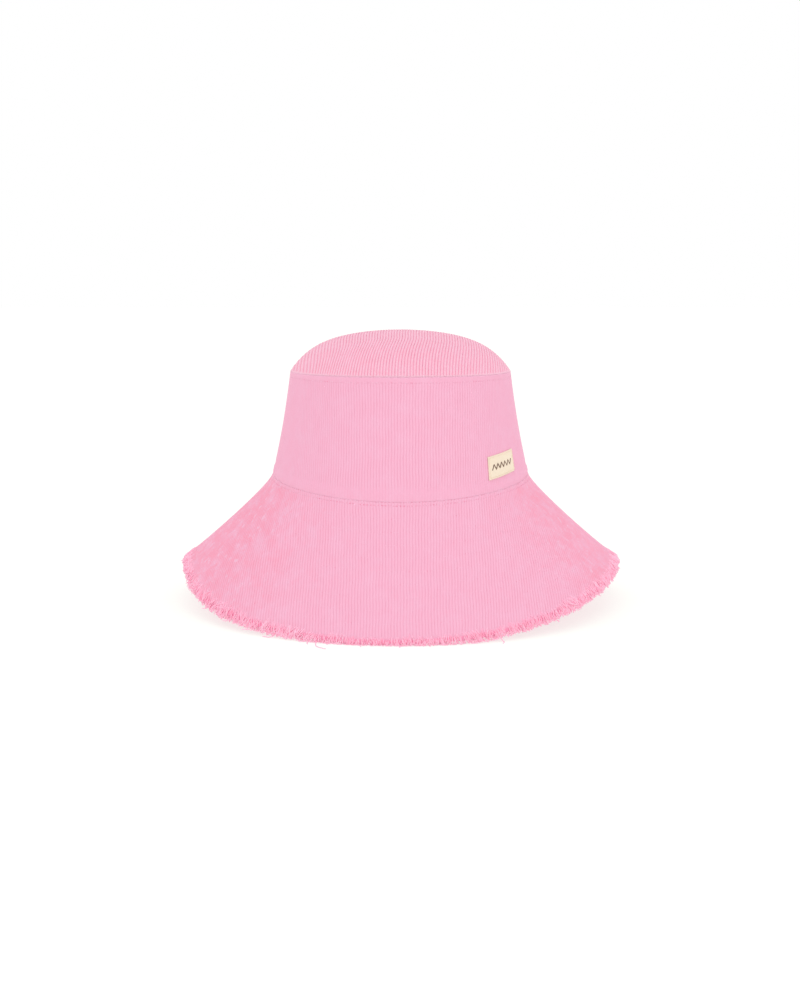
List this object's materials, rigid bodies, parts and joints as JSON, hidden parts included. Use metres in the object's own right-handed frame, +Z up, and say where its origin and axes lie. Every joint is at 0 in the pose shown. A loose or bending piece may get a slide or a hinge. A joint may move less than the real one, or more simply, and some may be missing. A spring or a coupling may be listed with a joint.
{
  "type": "bucket hat",
  "caption": "Soft corduroy bucket hat: domed tip, straight band, wide stitched brim that turns down and has a frayed edge, with lining, sweatband and a hanging care label.",
  "frame": {"origin": "on the ground under the middle of the hat, which stands on the front and back of its brim edge", "axes": "+Z up through the crown; the wearer faces -Y; +X is the wearer's left, the side with the small label"},
  "size_m": [0.291, 0.2516, 0.1762],
  "materials": {
    "corduroy": "matte cotton corduroy, 14 wales to the inch",
    "lining": "matte plain-weave cotton",
    "interlining": "matte stiffened non-woven",
    "sweatband": "matte cotton twill tape",
    "thread": "semi-matte polyester thread",
    "side_label": "woven damask label, left plain",
    "care_label": "smooth satin label, left plain"
  },
  "bodies": {
    "hat": {"tip_panel": "corduroy", "band_front": "corduroy", "band_back": "corduroy", "brim_top_front": "corduroy", "brim_top_back": "corduroy", "brim_under_front": "corduroy", "brim_under_back": "corduroy", "tip_lining": "lining", "side_lining_front": "lining", "side_lining_back": "lining", "brim_interlining_front": "interlining", "brim_interlining_back": "interlining", "sweatband": "sweatband", "tip_topstitching": "thread", "brim_seam_topstitching": "thread", "brim_stitch_row_01": "thread", "brim_stitch_row_02": "thread", "brim_stitch_row_03": "thread", "brim_stitch_row_04": "thread", "brim_stitch_row_05": "thread", "brim_stitch_row_06": "thread", "brim_stitch_row_07": "thread", "brim_stitch_row_08": "thread", "brim_stitch_row_09": "thread", "brim_stitch_row_10": "thread", "sweatband_stitching": "thread", "side_label_stitching": "thread", "side_label": "side_label"},
    "care_label": {"care_label": "care_label"}
  },
  "joints": [
    {"name": "care_label_swing", "type": "hinge", "parent": "hat", "child": "care_label", "pos_m": [0, 0.08406, 0.10894], "axis": [-1, 0, 0], "range_deg": [-6, 115]}
  ]
}
